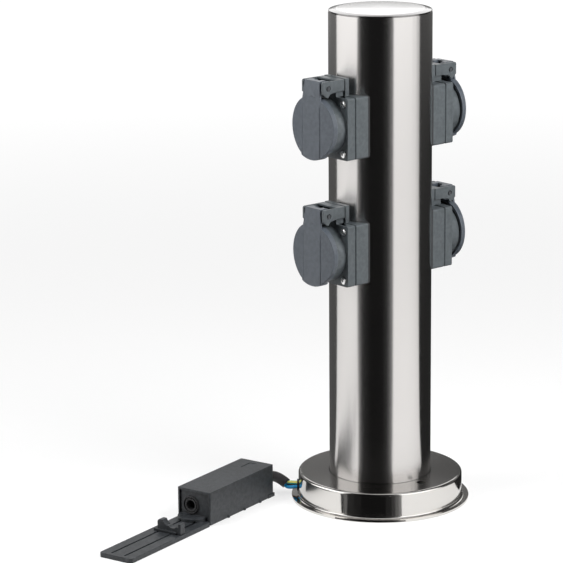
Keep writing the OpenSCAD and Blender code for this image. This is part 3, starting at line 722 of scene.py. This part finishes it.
def plastic(name, dark, light, roughness, grain_scale, grain_strength, specular=0.5):
    """Moulded plastic with soft patches between two close colours and a fine grain."""
    material, shader = new_material(name, dark, roughness)
    shader.inputs["Specular IOR Level"].default_value = specular
    tint(material, shader, object_noise(material, PATCH_SCALE, PATCH_DETAIL), dark, light)
    grain = object_noise(material, grain_scale, GRAIN_DETAIL)
    vary_roughness(material, shader, grain, roughness - PLASTIC_SMOOTHER, roughness + PLASTIC_ROUGHER)
    roughen(material, shader, grain, grain_strength, GRAIN_DEPTH)
    return material


def plain(name, dark, light, roughness, metallic=0.0):
    """A smooth surface with soft patches between two close colours."""
    material, shader = new_material(name, dark, roughness, metallic)
    patches = object_noise(material, PLAIN_SCALE, PLAIN_DETAIL)
    tint(material, shader, patches, dark, light)
    vary_roughness(material, shader, patches, *(roughness * share for share in PLAIN_ROUGHNESS))
    return material


def striped(name, first, second, share, roughness):
    """Insulation in two colours that run along the wire."""
    material, shader = new_material(name, first, roughness)
    place = add_node(material, "ShaderNodeTexCoord")
    split = add_node(material, "ShaderNodeSeparateXYZ")
    ramp = add_node(material, "ShaderNodeValToRGB")
    ramp.color_ramp.interpolation = "CONSTANT"
    ramp.color_ramp.elements[0].color = (*second, 1)
    ramp.color_ramp.elements[1].position = share
    ramp.color_ramp.elements[1].color = (*first, 1)
    link(material, place.outputs["UV"], split.inputs[0])
    link(material, split.outputs["X"], ramp.inputs["Fac"])
    link(material, ramp.outputs["Color"], shader.inputs["Base Color"])
    return material


def darker(colour, share):
    return [share * c for c in colour]


def cap_painted_shade(material):
    """The sloping shoulder is painted darker than the disc inside it: painted shade for its dimmer
    reflection.
    """
    base = material.node_tree.nodes["Principled BSDF"].inputs["Base Color"]
    colour = base.default_value[:3]
    # Painted shade: the shoulder's colour is darkened to stand in for its dimmer reflection
    outside = map_range(material, axis_reach(material), *CAP_SHOULDER)
    link(material, mix_colours(material, outside, colour, darker(colour, CAP_PAINTED_SHADE_SHARE)), base)
    return material


def base_painted_shade(material):
    """The pan's top is painted darker than its wall as painted shade, with a painted shadow line where the
    tube stands.
    """
    base = material.node_tree.nodes["Principled BSDF"].inputs["Base Color"]
    colour = base.default_value[:3]
    # Painted shade: the pan's top is darker than its wall
    on_top = map_range(material, place_axes(material)["Z"], *PAN_TOP)
    # Painted shadow: a dark line on the pan's top where the tube stands
    off_shadow_line = map_range(material, axis_reach(material), *FOOT_SHADOW_LINE)
    shade = mix_colours(material, on_top, colour, darker(colour, PAN_TOP_PAINTED_SHADE))
    link(material, mix_colours(material, off_shadow_line, darker(colour, FOOT_SHADOW_SHARE), shade), base)
    return material


INNER_DARK, INNER_LIGHT = (0.03, 0.032, 0.035), (0.034, 0.036, 0.04)
MATERIALS = {
    "brushed_steel": steel("satin_tube_steel", (0.66, 0.64, 0.625), 0.2, 0.23, 0.95),
    # The cap's shoulder carries painted shade
    "cap_steel": cap_painted_shade(steel("satin_cap_steel", (0.66, 0.645, 0.64), 0.11, 0.14, 0.5)),
    # The pan's top carries painted shade and a painted shadow line at the tube's foot
    "base_steel": base_painted_shade(steel("spun_base_steel", (0.69, 0.67, 0.645), 0.12, 0.15, 0.7)),
    "screw_steel": plain("bright_screw_steel", (0.8, 0.8, 0.79), (0.85, 0.85, 0.84), 0.2, 1.0),
    "black_plastic": plastic("socket_plastic", (0.048, 0.056, 0.061), (0.066, 0.076, 0.082), 0.38, 900, 0.35),
    "lid_plastic": plastic("lid_plastic_satin", (0.050, 0.058, 0.070), (0.064, 0.074, 0.088), 0.36, 900, 0.3),
    "insert_plastic": plastic("insert_plastic_satin", INNER_DARK, INNER_LIGHT, 0.45, 2500, 0.2),
    "pin_plastic": plastic("pin_plastic_satin", INNER_DARK, INNER_LIGHT, 0.4, 2500, 0.1),
    "box_plastic": plastic(
        "box_plastic_grained", (0.017, 0.019, 0.021), (0.031, 0.034, 0.038), 0.42, 900, 0.5, specular=0.38
    ),
    "rubber": plastic("gasket_rubber", (0.015, 0.015, 0.016), (0.02, 0.02, 0.021), 0.6, 3000, 0.2),
    "sleeve_rubber": plastic(
        "sleeve_rubber_dull", (0.02, 0.018, 0.02), (0.026, 0.023, 0.026), 0.55, 3000, 0.2
    ),
    "brass": plain("contact_brass", (0.72, 0.55, 0.25), (0.78, 0.6, 0.3), 0.3, 1.0),
    "spring_metal": plain("spring_steel_bright", (0.7, 0.7, 0.7), (0.76, 0.76, 0.76), 0.25, 1.0),
    "terminal_plastic": plain("terminal_plastic_milky", (0.72, 0.72, 0.68), (0.76, 0.76, 0.72), 0.35),
    "blue_insulation": plain("blue_wire", (0.01, 0.23, 0.52), (0.02, 0.31, 0.62), 0.35),
    "green_yellow_insulation": striped("earth_wire", (0.04, 0.4, 0.3), (0.7, 0.66, 0.16), 0.2, 0.35),
    "brown_insulation": plain("brown_wire", (0.16, 0.07, 0.025), (0.19, 0.085, 0.03), 0.35),
}

for node, piece in NODES.items():
    for slot in piece.material_slots:
        slot.material = MATERIALS[SLOT_OF[node]]
# The four sockets share their meshes, so a mesh may have its material already
for piece in (*soft_pieces, *(lead for lead, path in leads.values()), sleeve):
    if not piece.data.materials:
        piece.data.materials.append(MATERIALS[piece["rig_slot"]])

# Floor, light, and the cards that the steel mirrors: metres, and degrees from the camera's direction

# Direction from the post to the camera, in degrees round +Z from +X
TO_CAMERA = math.degrees(math.atan2(CAMERA_PLACE[1], CAMERA_PLACE[0]))
FLOOR_R = 12
FLOOR_SIDES = 96
FLOOR_PAINT = (0.8, 0.8, 0.8, 1)
# The floor glows outside the post's foot, and more with the distance
FLOOR_FOOT = (0.06, 0.07)
FLOOR_REACH = (0.2, 2)
FLOOR_GLOW_NEAR = 0.66
FLOOR_GLOW_FAR = 0.96
FLOOR_GLOW_LIGHT = 1.08
# Cards on the floor lie this much above it
CARD_LIFT = 0.5 * MM
# Cards in front of the post: start, end and light. They are darkest in the middle
FRONT_STRIPS = (
    (-52, -46, 0.16), (-46, -36, 0.026), (-36, -26, 0.016), (-26, 8, 0.008), (8, 16, 0.02), (16, 21, 0.05),
    (21, 26, 0.13), (26, 30, 0.25),
)
FRONT_START_R = 0.066
FRONT_REACH = 0.8
FRONT_H = 2.5
FRONT_STEP = 3
# A short flat card on the floor that the left of the pan's wall mirrors
FOOT_CARD = (-58, -52)
FOOT_CARD_START_R = 0.072
FOOT_CARD_REACH = 0.1
FOOT_CARD_H = 0.001
FOOT_CARD_GLOW = 0.03
# Dark cards behind the post, on the floor and on a low skirt round it: start, end and light
REAR_CARDS = {"right": (95, 172, 0.02), "left": (172, 249, 0.09)}
REAR_FLOOR_R = 0.08
REAR_R = 1.25
REAR_SKIRT_H = 0.18
# The grey screen above the skirt: start and end, its light on the left and on the right, and the places left
# and right of the post between which the light changes
REAR_SCREEN = (95, 249)
REAR_SCREEN_H = 0.53
REAR_SCREEN_GLOWS = (0.25, 0.14)
REAR_CHANGE = (-0.1, 0.1)
# Above it, two screens behind the post that the cap mirrors
CAP_SCREEN = (150, 210)
CAP_SCREEN_H = 0.6
CAP_SCREEN_TOP = 1.3
MIDDLE_GLOW = 0.55
# The ceiling
CEILING_GLOW = 0.8
CEILING_R = 1.3
CEILING_H = 2.4
# Light screens beside the camera: start, end, and share of the light above and low down
SIDE_SCREENS = ((249, 310, 1, 0.56), (24, 74, 1, 0.49), (74, 86, 0.86, 0.46), (86, 96, 0.62, 0.34))
SIDE_GLOW = 1.8
SIDE_R = 1.3
SIDE_LOW_H = 0.25
SIDE_TOP = 1.6
RING_STEPS = 32
# Softboxes: direction, distance, height and power. Mirrored rays don't see them
SOFTBOXES = {"left_softbox": (-72, 0.7, 0.85, 10.5), "right_softbox": (60, 0.65, 0.7, 11)}
SOFTBOX_SIZE = 0.6
SOFTBOX_AIM_H = 0.2
WORLD_LIGHT = 0.05


def make_floor():
    """A pale floor: rays that show it directly see it glow, and its paint keeps the shadow."""
    bm = bmesh.new()
    bmesh.ops.create_circle(bm, cap_ends=True, segments=FLOOR_SIDES, radius=FLOOR_R)
    floor = new_piece("floor", mesh_from(bm, "floor"))
    material, surface = bare_material("pale_floor")
    paint = add_node(material, "ShaderNodeBsdfDiffuse", Color=FLOOR_PAINT)
    glow = add_node(material, "ShaderNodeEmission", Strength=FLOOR_GLOW_LIGHT)
    rays = add_node(material, "ShaderNodeLightPath").outputs
    seen = math_node(material, "MAXIMUM", rays["Is Camera Ray"], rays["Is Glossy Ray"])
    direct = math_node(material, "MAXIMUM", seen, rays["Is Transmission Ray"])
    reach = axis_reach(material)
    outside = map_range(material, reach, *FLOOR_FOOT)
    far = map_range(material, reach, *FLOOR_REACH, FLOOR_GLOW_NEAR, FLOOR_GLOW_FAR)
    share = math_node(material, "MULTIPLY", direct, math_node(material, "MULTIPLY", outside, far))
    mix = add_node(material, "ShaderNodeMixShader")
    for output, socket in zip((share, paint.outputs[0], glow.outputs[0]), mix.inputs):
        link(material, output, socket)
    link(material, mix.outputs[0], surface)
    floor.data.materials.append(material)


def direction(degrees):
    return Vector((math.cos(math.radians(degrees)), math.sin(math.radians(degrees)), 0))


def front_rows(left, right, start_r, far, height):
    """From a strip at the post's foot the card widens so that the round post mirrors straight dark edges."""
    rows = []
    steps = max(2, round((right - left) / FRONT_STEP))
    for k in range(steps + 1):
        aim = left + (right - left) * k / steps
        near = direction(TO_CAMERA + aim / 2) * start_r + UP * CARD_LIFT
        end = near + direction(TO_CAMERA + aim) * far
        rows.append([near, end, end + UP * height])
    return rows


def ring_rows(start, end, radii, heights):
    """A card round the post, through these radii and heights."""
    rows = []
    for k in range(RING_STEPS + 1):
        out = direction(TO_CAMERA + start + (end - start) * k / RING_STEPS)
        rows.append([out * r + UP * h for r, h in zip(radii, heights)])
    return rows


def glow_material(name, left, right):
    """Grey light that changes from the post's left to its right, as the camera sees it."""
    material, surface = bare_material(name)
    glow = add_node(material, "ShaderNodeEmission")
    side = add_node(material, "ShaderNodeVectorMath", operation="DOT_PRODUCT")
    side.inputs[1].default_value = direction(TO_CAMERA + 90)
    link(material, object_place(material), side.inputs[0])
    light = map_range(material, side.outputs["Value"], *REAR_CHANGE, left, right)
    link(material, light, glow.inputs["Strength"])
    link(material, glow.outputs[0], surface)
    return material


def even_glow(name, light):
    return glow_material(name, light, light)


def card_from(name, rows, material):
    """A card through rows of points. Only mirrored rays see it."""
    bm = bmesh.new()
    made = [[bm.verts.new(v) for v in row] for row in rows]
    for row, after in zip(made, made[1:]):
        for a, b, c, d in zip(row, row[1:], after[1:], after):
            bm.faces.new([a, b, c, d])
    card = new_piece(name, mesh_from(bm, name))
    card.visible_camera = False
    card.visible_diffuse = False
    card.visible_shadow = False
    card.visible_transmission = False
    card.data.materials.append(material)


def make_cards():
    for k, (start, end, light) in enumerate(FRONT_STRIPS):
        rows = front_rows(start, end, FRONT_START_R, FRONT_REACH, FRONT_H)
        card_from(f"front_card_{k}", rows, even_glow(f"front_{k}", light))
    rows = front_rows(*FOOT_CARD, FOOT_CARD_START_R, FOOT_CARD_REACH, FOOT_CARD_H)
    card_from("foot_card", rows, even_glow("foot_dark", FOOT_CARD_GLOW))
    upright = (REAR_R, REAR_R)
    for side, (start, end, light) in REAR_CARDS.items():
        dark = even_glow(f"{side}_dark", light)
        rows = ring_rows(start, end, (REAR_FLOOR_R, REAR_R), (CARD_LIFT, CARD_LIFT))
        card_from(f"{side}_rear_floor", rows, dark)
        card_from(f"{side}_rear_skirt", ring_rows(start, end, upright, (0, REAR_SKIRT_H)), dark)
    grey = glow_material("grey_screen", *REAR_SCREEN_GLOWS)
    card_from("rear_screen", ring_rows(*REAR_SCREEN, upright, (REAR_SKIRT_H, REAR_SCREEN_H)), grey)
    bright = even_glow("bright_screen", SIDE_GLOW)
    card_from("cap_screen", ring_rows(*CAP_SCREEN, upright, (CAP_SCREEN_H, CAP_SCREEN_TOP)), bright)
    middle = even_glow("middle_screen", MIDDLE_GLOW)
    card_from("middle_screen", ring_rows(*CAP_SCREEN, upright, (REAR_SCREEN_H, CAP_SCREEN_H)), middle)
    rows = ring_rows(0, 360, (0, CEILING_R), (CEILING_H, CEILING_H))
    card_from("ceiling_card", rows, even_glow("ceiling", CEILING_GLOW))
    for k, (start, end, above, low) in enumerate(SIDE_SCREENS):
        for level, share, heights in (
            ("upper", above, (SIDE_LOW_H, SIDE_TOP)), ("lower", low, (0, SIDE_LOW_H)),
        ):
            name = f"{level}_screen_{k}"
            rows = ring_rows(start, end, (SIDE_R, SIDE_R), heights)
            card_from(name, rows, even_glow(name, share * SIDE_GLOW))


def make_softbox(name, heading, distance, height, power):
    data = bpy.data.lights.new(name, "AREA")
    data.shape = "RECTANGLE"
    data.size = SOFTBOX_SIZE
    data.size_y = SOFTBOX_SIZE
    data.energy = power
    lamp = bpy.data.objects.new(name, data)
    bpy.context.scene.collection.objects.link(lamp)
    angle = math.radians(TO_CAMERA + heading)
    place = Vector((math.cos(angle) * distance, math.sin(angle) * distance, height))
    lamp.location = place
    lamp.rotation_mode = "QUATERNION"
    lamp.rotation_quaternion = (place - UP * SOFTBOX_AIM_H).to_track_quat("Z", "Y")
    lamp.visible_camera = False
    lamp.visible_glossy = False


def make_light():
    world = bpy.data.worlds.new("studio")
    world.use_nodes = True
    background = world.node_tree.nodes["Background"]
    background.inputs["Color"].default_value = (1, 1, 1, 1)
    background.inputs["Strength"].default_value = WORLD_LIGHT
    bpy.context.scene.world = world
    for name, numbers in SOFTBOXES.items():
        make_softbox(name, *numbers)


make_floor()
make_cards()
make_light()
bpy.context.scene.view_settings.view_transform = "Standard"
